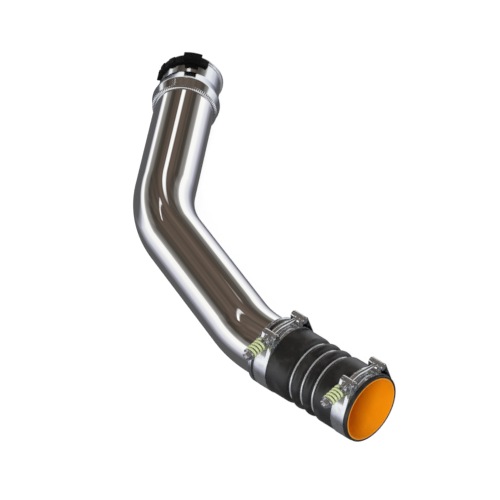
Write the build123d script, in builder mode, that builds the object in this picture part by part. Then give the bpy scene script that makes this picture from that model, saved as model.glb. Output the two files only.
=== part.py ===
"""Intercooler pipe: a bent aluminium tube with a push-on socket at its upper end, and at its
lower end a ribbed silicone hose held by two spring-loaded T-bolt clamps.

All sizes are in millimetres. The origin is the centre of the hose's open mouth, +X points out
of that mouth, and the pipe's whole centreline lies in the XY plane, with +Z up.
"""

from build123d import *
import os
from math import acos, asin, atan2, cos, degrees, hypot, radians, sin, tan

# Tube
tube_od = 76.2
tube_wall = 2.0
bend_radius = 150.0
lower_turn = 18.9  # degrees, at the bend next to the hose
upper_turn = 35.3  # degrees, at the bend next to the socket
mouth_to_bend = 195.0  # hose mouth to the lower bend's corner
bend_to_bend = 247.0  # corner to corner
bend_to_socket = 199.0  # upper bend's corner to the toe of the socket's weld

# Stop ring, welded round the tube where the hose ends
stop_ring_height = 4.7  # above the tube
stop_ring_width = 5.0
stop_ring_groove = 1.4
stop_ring_groove_depth = 1.0
stop_ring_round = 0.8
weld_seat = 0.05  # radial gap under what is welded round the tube

# Hose: a black cover over an orange liner, with two ribs between three grooves
hose_length = 152.4
tube_insertion = 45.0
hose_slip = 0.1  # radial gap between the tube and the liner
liner_wall = 1.5
cover_wall = 2.6
ply_gap = 0.05  # between the cover and the liner
groove_pitch = 17.5
groove_depth = 6.2
groove_round = 3.3
groove_count = 3
stop_gap = 0.3  # hose end to stop ring

# Support rings, one in each groove of the hose
ring_wire = 2.3
ring_seat = 0.05

# Clamp band, and the bridge across its gap
band_width = 19.2
band_thickness = 0.6
band_seat = 0.05  # radial gap under the band
band_edge = 4.6  # hose end to the band's near edge
clamp_turn = 8.5  # degrees, from straight up towards +Y
pin_rise = 3.25  # hose's outside to the axes of the loops' pins
loop_offset = 24.0  # each loop's pin, to either side of the gap's middle
lap_angle = 26.0  # degrees of double band past each loop
bridge_clearance = 0.3

# T-bolt, bent so that it follows the hose, and trunnion
bolt_d = 6.0
neck_d = 3.6
neck_length = 30.0  # from the cross head's axis
bolt_bend_place = 10.0  # past the gap's middle
bolt_bend_radius = 18.0
shank_tilt = 12.0  # degrees
bolt_reach = 44.5  # trunnion axis to the bolt's free end
bolt_chamfer = 0.7
pin_d = 8.4
pin_overhang = 0.6  # at each end, past the band's edge
pin_clearance = 0.1
bolt_clearance = 0.15
slot_side = 0.6  # room round what passes through a loop's leg
inner_slot_drop = 4.8  # bolt axis to the slot's foot, in the legs next to the gap
outer_slot_drop = 9.4  # the same in the leg that the sleeve passes

# Sleeve, spring, washer and nut, stacked on the bolt
sleeve_od = 9.2
sleeve_length = 9.5
sleeve_flutes = 10
flute_d = 1.5
seat_od = 14.8
seat_thickness = 1.2
spring_wire = 2.9
spring_od = 15.4
spring_pitch = 4.6
spring_turns = 4.25
washer_od = 15.4
washer_thickness = 1.6
washer_round = 0.5
nut_flats = 10.0
nut_height = 5.0
nut_chamfer = 0.8
stack_gap = 0.05  # between one piece of the stack and the next

# Push-on socket, its lengths measured along it from the toe of its weld
sleeve_start = 3.4
sleeve_wall = 3.1
socket_slip = 0.1  # radial gap between the tube and the socket
tube_depth = 13.0
shoulder_length = 3.0
lip_start = 14.6
lip_length = 1.6
lip_height = 4.9  # above the body
lip_round = 0.8
cone_end = 33.0
body_wall = 2.3
socket_length = 62.6
bore_step = 1.5  # the bore inside the tube's outside, radially
lead_in = 2.4
rim_length = 2.4
rim_height = 2.3  # above the body
rim_round = 0.8

# Windows in the socket's wall, one to each side of its top
window_start = 29.8
window_width = 3.2
window_angle = 24.5  # degrees round the socket
window_bridge_angle = 10.0  # degrees between the two windows
window_turn = -6.2  # degrees from straight up to the middle of the two

# Seal in a groove inside the socket
seal_start = 19.0
seal_groove_width = 5.0
seal_groove_depth = 2.6
seal_height = 3.0
seal_clearance = 0.1
seal_round = 1.0

# Retaining clip: a round wire in the groove behind the rim, and the grip moulded over it
clip_wire = 2.6
clip_groove_width = 2.8
clip_groove_depth = 0.9
clip_open_angle = 44.0  # degrees left open under the socket
clip_seat = 0.05
grip_length = 11.7
grip_wall = 3.0
grip_start_angle = -78.0  # degrees round the socket from straight up
grip_end_angle = 40.0
block_start_angle = -4.5
block_angle = 29.0
block_height = 9.0
lobe_start_angles = (-35.0, -59.0, -78.0)
lobe_angle = 12.0
lobe_height = 4.4
grip_round = 0.6

# Worked out from the sizes above
tube_r = tube_od / 2
liner_r = tube_r + hose_slip
cover_r = liner_r + liner_wall + ply_gap
hose_r = cover_r + cover_wall
stop_ring_r = tube_r + stop_ring_height
band_r = hose_r + band_seat
lap_r = band_r + band_thickness + band_seat
lower_bend = Vector(-mouth_to_bend, 0, 0)
middle_way = Vector(-cos(radians(lower_turn)), sin(radians(lower_turn)), 0)
upper_bend = lower_bend + middle_way * bend_to_bend
upper_way = middle_way.rotate(Axis.Z, -upper_turn)
weld_toe = upper_bend + upper_way * bend_to_socket
socket_axis = Axis(weld_toe, upper_way)
spigot_r = tube_r - bore_step
body_r = spigot_r + body_wall
lip_r = body_r + lip_height
rim_r = body_r + rim_height
lip_end = lip_start + lip_length
clip_start = socket_length - rim_length - clip_groove_width
clip_floor = body_r - clip_groove_depth
clip_r = clip_floor + clip_seat + clip_wire / 2


def along_socket(distance):
    """A point on the socket's axis, at a distance from the toe of its weld."""
    return weld_toe + upper_way * distance


def socket_face(distance):
    """A plane square to the socket's axis, with its y up and its x to the outside of the bend."""
    return Plane(along_socket(distance), x_dir=Vector(0, 0, 1).cross(upper_way), z_dir=upper_way)


def disc_slice(radius, start, end):
    """A pie slice of a disc, between two angles turned from +Y towards -X."""
    with BuildSketch() as piece:
        with BuildLine():
            PolarLine((0, 0), radius, 90 + start)
            PolarLine((0, 0), radius, 90 + end)
            CenterArc((0, 0), radius, 90 + start, end - start)
        make_face()
    return piece.sketch


os.makedirs("parts", exist_ok=True)

# The tube: one piece, bent twice in the same plane
with BuildPart() as main_tube:
    with BuildLine() as tube_path:
        FilletPolyline(
            (-hose_length + tube_insertion, 0, 0),
            lower_bend,
            upper_bend,
            along_socket(tube_depth),
            radius=bend_radius,
        )
    with BuildSketch(Plane(tube_path.line @ 0, z_dir=(-1, 0, 0))):
        Circle(tube_r)
        Circle(tube_r - tube_wall, mode=Mode.SUBTRACT)
    sweep()
main_tube.part.label = "main_tube"
export_step(main_tube.part, "parts/main_tube.step")

# The stop ring: two rounded ridges with a groove between them
stop_ring_x = -hose_length - stop_gap - stop_ring_width / 2
with BuildPart() as stop_ring:
    with BuildSketch(Plane.XZ):
        stop_ring_base = tube_r + weld_seat
        with Locations((stop_ring_x, (stop_ring_base + stop_ring_r) / 2)):
            Rectangle(stop_ring_width, stop_ring_r - stop_ring_base)
        with Locations((stop_ring_x, stop_ring_r)):
            Rectangle(stop_ring_groove, 2 * stop_ring_groove_depth, mode=Mode.SUBTRACT)
        fillet(vertices().group_by(Axis.Y)[-1], stop_ring_round)
    revolve(axis=Axis.X)
stop_ring.part.label = "stop_ring"
export_step(stop_ring.part, "parts/stop_ring.step")

# The hose's wave, where arcs over the ribs meet arcs in the grooves
half_pitch = groove_pitch / 2
wave_angle = 2 * atan2(groove_depth, half_pitch)
rib_round = half_pitch / sin(wave_angle) - groove_round
first_groove = -hose_length / 2 - (groove_count - 1) / 2 * groove_pitch
groove_places = [first_groove + k * groove_pitch for k in range(groove_count)]


def hose_line(depth):
    """Draws the hose's wavy side in the open line, at a depth below its outer surface."""
    rib = rib_round - depth
    groove = groove_round + depth
    top = hose_r - depth
    slope_x = groove * sin(wave_angle)
    slope_y = hose_r - groove_depth + groove_round - groove * cos(wave_angle)
    Line((-hose_length, top), (groove_places[0] - half_pitch, top))
    for place in groove_places:
        down = Vector(place - slope_x, slope_y)
        up = Vector(place + slope_x, slope_y)
        RadiusArc((place - half_pitch, top), down, -rib)
        ThreePointArc(down, (place, hose_r - groove_depth - depth), up)
        RadiusArc(up, (place + half_pitch, top), -rib)
    Line((groove_places[-1] + half_pitch, top), (0, top))


# The hose's two layers, each between two depths below the hose's outer surface
hose_layers = {
    "hose_cover": (0, cover_wall),
    "hose_liner": (cover_wall + ply_gap, cover_wall + ply_gap + liner_wall),
}
for node, depths in hose_layers.items():
    with BuildPart() as layer:
        with BuildSketch(Plane.XZ):
            with BuildLine():
                for depth in depths:
                    hose_line(depth)
                for end in (-hose_length, 0):
                    Line((end, hose_r - depths[0]), (end, hose_r - depths[1]))
            make_face()
        revolve(axis=Axis.X)
    layer.part.label = node
    export_step(layer.part, f"parts/{node}.step")

# The support rings, seated in the grooves
for number, place in enumerate(groove_places, start=1):
    with BuildPart(Plane((place, 0, 0), z_dir=(1, 0, 0))) as support_ring:
        Torus(hose_r - groove_depth + ring_seat + ring_wire / 2, ring_wire / 2)
    support_ring.part.label = f"support_ring_{number}"
    export_step(support_ring.part, f"parts/support_ring_{number}.step")

# The clamps' sizes, seen along the hose: x towards the nut, y away from the hose
turn = radians(clamp_turn)
pin_r = pin_d / 2
pin_length = band_width + 2 * pin_overhang
pin_height = hose_r + pin_rise
ring_mid = band_r + band_thickness / 2
lap_mid = lap_r + band_thickness / 2
wrap_mid = pin_r + pin_clearance + band_thickness / 2
leg_x = loop_offset - wrap_mid
leg_angle = degrees(asin(leg_x / ring_mid))
bridge_angle = degrees(asin((leg_x - band_thickness / 2 - bridge_clearance) / ring_mid))
pin_distance = hypot(loop_offset, pin_height)
lap_start = degrees(atan2(loop_offset, pin_height) + acos((lap_mid - wrap_mid) / pin_distance))
bend_rise = (loop_offset - bolt_bend_place) * tan(radians(shank_tilt))

# The stack on the shank, measured along it from the trunnion's axis
hole_r = bolt_d / 2 + bolt_clearance
sleeve_base = pin_r + stack_gap
sleeve_end = sleeve_base + sleeve_length
spring_base = sleeve_end + stack_gap
spring_length = spring_turns * spring_pitch + spring_wire
washer_base = spring_base + spring_length + stack_gap
nut_base = washer_base + washer_thickness + stack_gap
nut_corner_r = nut_flats / 2 / cos(radians(30))


def on_ring(radius, angle):
    """A point of the clamp's section, at an angle in degrees from its y towards its x."""
    return Vector(radius * sin(radians(angle)), radius * cos(radians(angle)))


# The two clamps, alike in every size, one at each end of the hose
band_place = band_edge + band_width / 2
clamp_places = {"tube_clamp": -hose_length + band_place, "mouth_clamp": -band_place}
for clamp, place in clamp_places.items():
    section = Plane((place, 0, 0), x_dir=(0, -cos(turn), sin(turn)), z_dir=(-1, 0, 0))
    head_place = section.from_local_coords(Vector(-loop_offset, pin_height, 0))
    bend_place = section.from_local_coords(Vector(bolt_bend_place, pin_height + bend_rise, 0))
    pin_place = section.from_local_coords(Vector(loop_offset, pin_height, 0))
    neck_way = (bend_place - head_place).normalized()
    shank_way = (pin_place - bend_place).normalized()
    neck_plane = Plane(head_place, x_dir=(1, 0, 0), z_dir=neck_way)
    shank_plane = Plane(pin_place, x_dir=(1, 0, 0), z_dir=shank_way)
    shank_side = Plane(pin_place, x_dir=shank_way, z_dir=(-1, 0, 0))
    shank_axis = Axis(pin_place, shank_way)

    # The band runs round the hose, up over each pin, and back down to lie on itself
    with BuildPart() as band:
        with BuildSketch(section):
            with BuildLine():
                pin = Vector(loop_offset, pin_height)
                CenterArc((0, 0), ring_mid, -90, 180 - leg_angle)
                Line(on_ring(ring_mid, leg_angle), (leg_x, pin_height))
                CenterArc(pin, wrap_mid, 90 - lap_start, 90 + lap_start)
                Line(pin + on_ring(wrap_mid, lap_start), on_ring(lap_mid, lap_start))
                CenterArc((0, 0), lap_mid, 90 - lap_start - lap_angle, lap_angle)
            trace(line_width=band_thickness)
            mirror(about=Plane.YZ)
        extrude(amount=band_width / 2, both=True)
        slots = (
            (neck_plane, loop_offset, bolt_d, inner_slot_drop),
            (shank_plane, -loop_offset, bolt_d, inner_slot_drop),
            (shank_plane, loop_offset, sleeve_od, outer_slot_drop),
        )
        for slot_plane, reach, passing, drop in slots:
            slot_r = passing / 2 + slot_side
            with BuildSketch(slot_plane):
                with Locations((0, (slot_r - drop) / 2)):
                    SlotOverall(slot_r + drop, 2 * slot_r, rotation=90)
            extrude(amount=reach, mode=Mode.SUBTRACT)
    band.part.label = f"{clamp}_band"
    export_step(band.part, f"parts/{clamp}_band.step")

    # The bridge keeps the hose pressed where the band has its gap
    with BuildPart() as bridge:
        with BuildSketch(section):
            add(disc_slice(band_r + band_thickness, -bridge_angle, bridge_angle))
            Circle(band_r, mode=Mode.SUBTRACT)
        extrude(amount=band_width / 2, both=True)
    bridge.part.label = f"{clamp}_bridge"
    export_step(bridge.part, f"parts/{clamp}_bridge.step")

    # The bolt has a round cross head in one loop, a neck that widens, and a long bent shank
    with BuildPart() as bolt:
        with BuildLine():
            shank_path = FilletPolyline(
                head_place + neck_way * neck_length,
                bend_place,
                pin_place + shank_way * bolt_reach,
                radius=bolt_bend_radius,
            )
        with BuildSketch(Plane(shank_path @ 0, z_dir=neck_way)):
            Circle(bolt_d / 2)
        sweep()
        chamfer(bolt.faces().sort_by(shank_axis)[-1].edges(), bolt_chamfer)
        with Locations(neck_plane):
            Cylinder(pin_r, pin_length, rotation=(0, 90, 0))
        with Locations(neck_plane.offset(neck_length / 2)):
            Cone(neck_d / 2, bolt_d / 2, neck_length)
    bolt.part.label = f"{clamp}_t_bolt"
    export_step(bolt.part, f"parts/{clamp}_t_bolt.step")

    # The trunnion is the cross pin in the other loop, drilled for the bolt
    with BuildPart() as trunnion:
        with Locations(shank_plane):
            Cylinder(pin_r, pin_length, rotation=(0, 90, 0))
            Cylinder(hole_r, 2 * pin_d, mode=Mode.SUBTRACT)
    trunnion.part.label = f"{clamp}_trunnion"
    export_step(trunnion.part, f"parts/{clamp}_trunnion.step")

    # The fluted sleeve stands on the trunnion and carries the spring on its flange
    with BuildPart() as sleeve:
        with BuildSketch(shank_plane.offset(sleeve_base)):
            Circle(sleeve_od / 2)
            with PolarLocations(sleeve_od / 2, sleeve_flutes):
                Circle(flute_d / 2, mode=Mode.SUBTRACT)
        extrude(amount=sleeve_length)
        with BuildSketch(shank_plane.offset(sleeve_end)):
            Circle(seat_od / 2)
        extrude(amount=-seat_thickness)
        with BuildSketch(shank_plane.offset(sleeve_base)):
            Circle(hole_r)
        extrude(amount=sleeve_length, mode=Mode.SUBTRACT)
    sleeve.part.label = f"{clamp}_sleeve"
    export_step(sleeve.part, f"parts/{clamp}_sleeve.step")

    # The coil spring is one round wire wound along a helix
    with BuildPart() as spring:
        with BuildLine():
            coil = Helix(
                spring_pitch,
                spring_pitch * spring_turns,
                (spring_od - spring_wire) / 2,
                center=pin_place + shank_way * (spring_base + spring_wire / 2),
                direction=shank_way,
            )
        with BuildSketch(Plane(coil @ 0, z_dir=coil % 0)):
            Circle(spring_wire / 2)
        sweep(is_frenet=True)
    spring.part.label = f"{clamp}_spring"
    export_step(spring.part, f"parts/{clamp}_spring.step")

    # The washer takes the spring's push to the nut, with its rim rounded
    with BuildPart() as washer:
        with BuildSketch(shank_plane.offset(washer_base)):
            Circle(washer_od / 2)
            Circle(hole_r, mode=Mode.SUBTRACT)
        extrude(amount=washer_thickness)
        rim_edges = washer.edges().filter_by(GeomType.CIRCLE).group_by(SortBy.RADIUS)[-1]
        fillet(rim_edges, washer_round)
    washer.part.label = f"{clamp}_washer"
    export_step(washer.part, f"parts/{clamp}_washer.step")

    # The hexagon nut has its corners turned off at both faces
    with BuildPart() as nut:
        with BuildSketch(shank_plane.offset(nut_base)):
            RegularPolygon(nut_corner_r, 6)
            Circle(hole_r, mode=Mode.SUBTRACT)
        extrude(amount=nut_height)
        with BuildSketch(shank_side):
            with Locations((nut_base + nut_height / 2, 0)):
                Rectangle(nut_height, 2 * nut_corner_r)
            chamfer(vertices(), nut_chamfer, angle=60)
            split(bisect_by=Plane.XZ)
        revolve(axis=shank_axis, mode=Mode.INTERSECT)
    nut.part.label = f"{clamp}_nut"
    export_step(nut.part, f"parts/{clamp}_nut.step")

# The socket: turned in one piece, from the sleeve over the tube's end to the rim
socket_side = Plane(weld_toe, x_dir=upper_way, z_dir=upper_way.cross(Vector(0, 0, 1)))
sleeve_bore = tube_r + socket_slip
tube_bore_r = tube_r - tube_wall
shoulder_end = tube_depth + shoulder_length
seal_end = seal_start + seal_groove_width
seal_floor = spigot_r + seal_groove_depth
rim_start = socket_length - rim_length
with BuildPart() as socket:
    with BuildSketch(socket_side):
        with BuildLine():
            Polyline(
                (sleeve_start, sleeve_bore),
                (tube_depth, sleeve_bore),
                (tube_depth, tube_bore_r),
                (shoulder_end, tube_bore_r),
                (shoulder_end, spigot_r),
                (seal_start, spigot_r),
                (seal_start, seal_floor),
                (seal_end, seal_floor),
                (seal_end, spigot_r),
                (socket_length - lead_in, spigot_r),
                (socket_length, spigot_r + lead_in / 2),
                (socket_length, rim_r),
                (rim_start, rim_r),
                (rim_start, clip_floor),
                (clip_start, clip_floor),
                (clip_start, body_r),
                (cone_end, body_r),
                (lip_end, lip_r),
                (lip_start, lip_r),
                (sleeve_start, sleeve_bore + sleeve_wall),
                close=True,
            )
        make_face()
        fillet(vertices().group_by(Axis.X)[-1].sort_by(Axis.Y)[-1], rim_round)
        fillet(vertices().group_by(Axis.Y)[-1], lip_round)
    revolve(axis=socket_axis)
    with BuildSketch(socket_face(window_start)):
        window_offset = window_bridge_angle / 2 + window_angle / 2
        for middle in (window_turn - window_offset, window_turn + window_offset):
            add(disc_slice(lip_r, middle - window_angle / 2, middle + window_angle / 2))
    extrude(amount=window_width, mode=Mode.SUBTRACT)
socket.part.label = "socket"
export_step(socket.part, "parts/socket.step")

# The weld between the tube and the socket's sleeve: a bead with a swollen face
with BuildPart() as weld_bead:
    with BuildSketch(socket_side):
        with BuildLine():
            toe = Vector(0, tube_r + weld_seat)
            root = Vector(sleeve_start - weld_seat, tube_r + weld_seat)
            crown = Vector(sleeve_start - weld_seat, sleeve_bore + sleeve_wall)
            Polyline(crown, root, toe)
            RadiusArc(toe, crown, sleeve_start)
        make_face()
    revolve(axis=socket_axis)
weld_bead.part.label = "weld_bead"
export_step(weld_bead.part, "parts/weld_bead.step")

# The seal stands proud of the bore, so that it grips the spigot
with BuildPart() as seal:
    with BuildSketch(socket_side):
        seal_middle = seal_start + seal_groove_width / 2
        with Locations((seal_middle, seal_floor - seal_clearance - seal_height / 2)):
            Rectangle(seal_groove_width - 2 * seal_clearance, seal_height)
        fillet(vertices().group_by(Axis.Y)[0], seal_round)
    revolve(axis=socket_axis)
seal.part.label = "socket_seal"
export_step(seal.part, "parts/socket_seal.step")

# The clip's wire, open underneath so that it can be sprung apart
with BuildPart() as clip_ring:
    with BuildLine(socket_face(clip_start + clip_groove_width / 2)):
        ring_path = CenterArc((0, 0), clip_r, -90 + clip_open_angle / 2, 360 - clip_open_angle)
    with BuildSketch(Plane(ring_path @ 0, z_dir=ring_path % 0)):
        Circle(clip_wire / 2)
    sweep()
clip_ring.part.label = "clip_ring"
export_step(clip_ring.part, "parts/clip_ring.step")

# The clip's grip: a strap with a thumb block and three lobes, channelled for the wire
grip_start = rim_start - grip_length
grip_inner = body_r + clip_seat
grip_outer = grip_inner + grip_wall
with BuildPart() as clip_grip:
    with BuildSketch(socket_face(grip_start)):
        add(disc_slice(grip_outer, grip_start_angle, grip_end_angle))
        block_end_angle = block_start_angle + block_angle
        add(disc_slice(grip_inner + block_height, block_start_angle, block_end_angle))
        for start in lobe_start_angles:
            add(disc_slice(grip_inner + lobe_height, start, start + lobe_angle))
        fillet(vertices().filter_by(lambda v: Vector(v).length > grip_inner), grip_round)
        Circle(grip_inner, mode=Mode.SUBTRACT)
    extrude(amount=grip_length)
    with BuildSketch(socket_face(clip_start - clip_seat)):
        Circle(clip_r + clip_wire / 2 + clip_seat)
    extrude(amount=clip_groove_width + 2 * clip_seat, mode=Mode.SUBTRACT)
clip_grip.part.label = "clip_grip"
export_step(clip_grip.part, "parts/clip_grip.step")
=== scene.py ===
"""Intercooler pipe: a polished tube with a clamped, ribbed hose and a push-on socket.

Every length in the classes is in millimetres. A piece is drawn about its own axis and its
mesh is then put in its place in the row's frame, in metres.
"""

import logging
import math
from dataclasses import dataclass
from enum import Enum
from functools import cache

import bmesh
import bpy
from mathutils import Matrix, Vector


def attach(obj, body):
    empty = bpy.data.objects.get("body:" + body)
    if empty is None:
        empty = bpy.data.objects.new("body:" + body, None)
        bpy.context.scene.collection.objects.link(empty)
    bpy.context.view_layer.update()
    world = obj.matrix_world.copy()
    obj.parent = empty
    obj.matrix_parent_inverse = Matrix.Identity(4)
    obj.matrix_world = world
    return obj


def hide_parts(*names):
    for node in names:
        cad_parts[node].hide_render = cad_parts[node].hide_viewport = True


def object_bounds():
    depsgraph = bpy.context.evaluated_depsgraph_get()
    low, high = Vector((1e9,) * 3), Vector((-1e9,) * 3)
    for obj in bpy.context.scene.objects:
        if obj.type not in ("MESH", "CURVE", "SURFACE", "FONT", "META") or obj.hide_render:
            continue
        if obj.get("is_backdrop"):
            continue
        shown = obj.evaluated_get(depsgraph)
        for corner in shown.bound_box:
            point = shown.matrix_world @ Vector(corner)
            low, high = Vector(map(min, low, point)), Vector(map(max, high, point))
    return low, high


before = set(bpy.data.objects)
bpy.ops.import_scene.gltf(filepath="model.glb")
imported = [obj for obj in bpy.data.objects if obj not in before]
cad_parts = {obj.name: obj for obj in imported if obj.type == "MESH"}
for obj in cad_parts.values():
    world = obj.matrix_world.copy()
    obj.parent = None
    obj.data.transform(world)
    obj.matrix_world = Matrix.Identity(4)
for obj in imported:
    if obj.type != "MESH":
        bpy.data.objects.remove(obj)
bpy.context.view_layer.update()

log = logging.getLogger("intercooler_pipe")
MM = 0.001
X_WAY = Vector((1.0, 0.0, 0.0))
Y_WAY = Vector((0.0, 1.0, 0.0))
UP = Vector((0.0, 0.0, 1.0))
SEAT_GAP = 0.05
WHITE = (1.0, 1.0, 1.0, 1.0)
Port = bpy.types.NodeSocket
Vert, Edge, Face = bmesh.types.BMVert, bmesh.types.BMEdge, bmesh.types.BMFace
Triple = tuple[float, float, float]


class Slot(Enum):
    """The record's material slots."""

    POLISHED = "polished_aluminium"
    TURNED = "turned_aluminium"
    STAINLESS = "stainless"
    SPRING = "plated_spring"
    WIRE = "steel_wire"
    COVER = "silicone_black"
    LINER = "silicone_orange"
    SEAL = "seal_rubber"
    PLASTIC = "clip_plastic"


class NodeSheet:
    """A node tree, with short calls for the nodes that the finishes and the room share."""

    def __init__(
        self, owner: bpy.types.Material | bpy.types.World, own_axes: Matrix | None = None,
    ) -> None:
        """Turns on the owner's nodes.

        Args:
            owner: The material or world that the nodes belong to.
            own_axes: The piece's own axes, where a finish follows them.
        """
        self.own_axes = own_axes
        owner.use_nodes = True
        self.tree = owner.node_tree
        self.shader = self.tree.nodes.get("Principled BSDF")

    def fill(self, node: bpy.types.Node, *ends: object, **values: object) -> bpy.types.Node:
        """Sets a node's inputs, or joins other sockets to them.

        Args:
            node: The node.
            ends: What its inputs get, in order.
            values: What other inputs get, by their names with _ for a space.

        Returns:
            The node.
        """
        pairs = list(zip(node.inputs, ends))
        pairs += [(node.inputs[key.replace("_", " ")], value) for key, value in values.items()]
        for socket, value in pairs:
            if isinstance(value, Port):
                self.tree.links.new(value, socket)
            else:
                socket.default_value = value
        return node

    def node(self, kind: str, *ends: object, **settings: object) -> bpy.types.Node:
        """Adds a node and sets its properties and inputs.

        Args:
            kind: The node's type, such as "ShaderNodeTexNoise".
            ends: What its inputs get, in order.
            settings: Properties of the node, or of its inputs where no property has the name.

        Returns:
            The new node.
        """
        made = self.tree.nodes.new(kind)
        for key in [key for key in settings if hasattr(made, key)]:
            setattr(made, key, settings.pop(key))
        return self.fill(made, *ends, **settings)

    def shade(self, **values: object) -> None:
        """Sets the shader's inputs, or joins other sockets to them."""
        self.fill(self.shader, **values)

    def place(self, scale: Triple = (1.0, 1.0, 1.0), matrix: Matrix | None = None) -> Port:
        """Object coordinates, turned to a piece's own axes and stretched.

        Args:
            scale: The pattern's scale along each axis.
            matrix: The piece's place, whose axes the pattern follows.

        Returns:
            The vector socket.
        """
        coords = self.node("ShaderNodeTexCoord").outputs["Object"]
        if matrix is not None:
            coords = self.node(
                "ShaderNodeMapping", vector_type="TEXTURE", Vector=coords,
                Location=matrix.translation, Rotation=matrix.to_euler(),
            ).outputs["Vector"]
        return self.node("ShaderNodeMapping", Vector=coords, Scale=scale).outputs["Vector"]

    def noise(self, where: Port, scale: float, detail: float = 3.0) -> Port:
        """A noise value at a vector, by its scale and its detail."""
        made = self.node("ShaderNodeTexNoise", Vector=where, Scale=scale, Detail=detail)
        return made.outputs["Fac"]

    def spread(
        self, value: Port, low: float, high: float, start: float = 0.3, end: float = 0.7,
    ) -> Port:
        """A value's range from start to end, moved to the range from low to high."""
        return self.node("ShaderNodeMapRange", value, start, end, low, high).outputs["Result"]

    def blend(self, value: Port, first: tuple | Port, second: tuple) -> Port:
        """A colour between two, by a value from 0 to 1.

        Args:
            value: The value's socket.
            first: The colour at 0, or its socket.
            second: The colour at 1.

        Returns:
            The colour's socket.
        """
        made = self.node("ShaderNodeMix", value, data_type="RGBA")
        colours = [socket for socket in made.inputs if socket.type == "RGBA"]
        if isinstance(first, Port):
            self.tree.links.new(first, colours[0])
        else:
            colours[0].default_value = (*first, 1.0)
        colours[1].default_value = (*second, 1.0)
        return next(socket for socket in made.outputs if socket.type == "RGBA")

    def maths(self, operation: str, first: Port, second: Port | float = 0.0) -> Port:
        """A sum on one or two values, by the Math node's name for it."""
        return self.node("ShaderNodeMath", first, second, operation=operation).outputs[0]

    def toward(self, direction: Port, other: Triple) -> Port:
        """How closely a direction faces another one, as their dot product."""
        made = self.node("ShaderNodeVectorMath", direction, other, operation="DOT_PRODUCT")
        return made.outputs["Value"]

    def bump(self, height: Port, strength: float, distance: float) -> None:
        """Joins a height to the shader's normal.

        Args:
            height: The height's socket.
            strength: The bump's strength.
            distance: The bump's distance in metres.
        """
        made = self.node("ShaderNodeBump", Strength=strength, Distance=distance, Height=height)
        normal = self.shader.inputs["Normal"]
        if normal.is_linked:
            self.fill(made, Normal=normal.links[0].from_socket)
        self.shade(Normal=made.outputs["Normal"])


@dataclass(frozen=True)
class Finish:
    """What a surface is made of, and how it was finished."""

    name: str
    slot: Slot
    colour: Triple
    roughness: float

    @cache
    def material(self, own_axes: Matrix | None = None) -> bpy.types.Material:
        """The finish's material, made once for each set of axes.

        Args:
            own_axes: The piece's own axes, where the finish follows them.

        Returns:
            The material.
        """
        material = bpy.data.materials.new(self.name)
        sheet = NodeSheet(material, own_axes)
        sheet.shade(Base_Color=(*self.colour, 1.0), Roughness=self.roughness)
        self.dress(sheet)
        return material

    def shades(self, factor: float) -> Triple:
        """The finish's colour, made darker or paler by a factor."""
        return tuple(factor * part for part in self.colour)

    def dress(self, sheet: NodeSheet) -> None:
        """Adds the finish's own pattern to its nodes; a plain finish has none."""


@dataclass(frozen=True)
class PolishedMetal(Finish):
    """Buffed aluminium, close to a mirror, with faint wheel marks."""

    def dress(self, sheet: NodeSheet) -> None:
        """Varies the gloss in soft patches and adds the wheel's fine marks.

        Args:
            sheet: The material's nodes.
        """
        where = sheet.place()
        patches = sheet.noise(where, 28.0, 4.0)
        tint = sheet.noise(where, 9.0, 2.0)
        sheet.shade(
            Metallic=1.0,
            Roughness=sheet.spread(patches, self.roughness * 0.7, self.roughness * 1.6),
            Base_Color=sheet.blend(tint, self.colour, self.shades(0.93)),
        )
        sheet.bump(sheet.noise(where, 60.0, 2.0), 0.012, 0.0006)
        sheet.bump(sheet.noise(sheet.place((1.0, 1.0, 14.0)), 420.0, 2.0), 0.01, 0.0002)


@dataclass(frozen=True)
class TurnedMetal(Finish):
    """Metal turned on a lathe, with fine rings round its own axis."""

    grooves: float = 900.0

    def dress(self, sheet: NodeSheet) -> None:
        """Adds the tool's rings and a slight unevenness.

        Args:
            sheet: The material's nodes.
        """
        rings = sheet.noise(sheet.place((1.0, 0.02, 0.02), sheet.own_axes), self.grooves, 2.0)
        soil = sheet.noise(sheet.place(), 70.0, 4.0)
        sheet.shade(
            Metallic=1.0,
            Roughness=sheet.spread(rings, self.roughness * 0.75, self.roughness * 1.5),
            Base_Color=sheet.blend(soil, self.colour, self.shades(0.86)),
        )
        sheet.bump(rings, 0.08, 0.0002)


@dataclass(frozen=True)
class RolledMetal(Finish):
    """Bright rolled strip or drawn wire, with soft handling marks."""

    grain: float = 260.0
    metal: float = 1.0

    def dress(self, sheet: NodeSheet) -> None:
        """Adds the grain and a few darker marks.

        Args:
            sheet: The material's nodes.
        """
        grain = sheet.noise(sheet.place((6.0, 1.0, 1.0)), self.grain, 3.0)
        marks = sheet.spread(sheet.noise(sheet.place(), 150.0, 5.0), 0.0, 1.0, 0.45, 0.75)
        sheet.shade(
            Metallic=self.metal,
            Roughness=sheet.spread(grain, self.roughness * 0.7, self.roughness * 1.4),
            Base_Color=sheet.blend(marks, self.colour, self.shades(0.8)),
        )
        sheet.bump(grain, 0.05, 0.0002)


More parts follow.
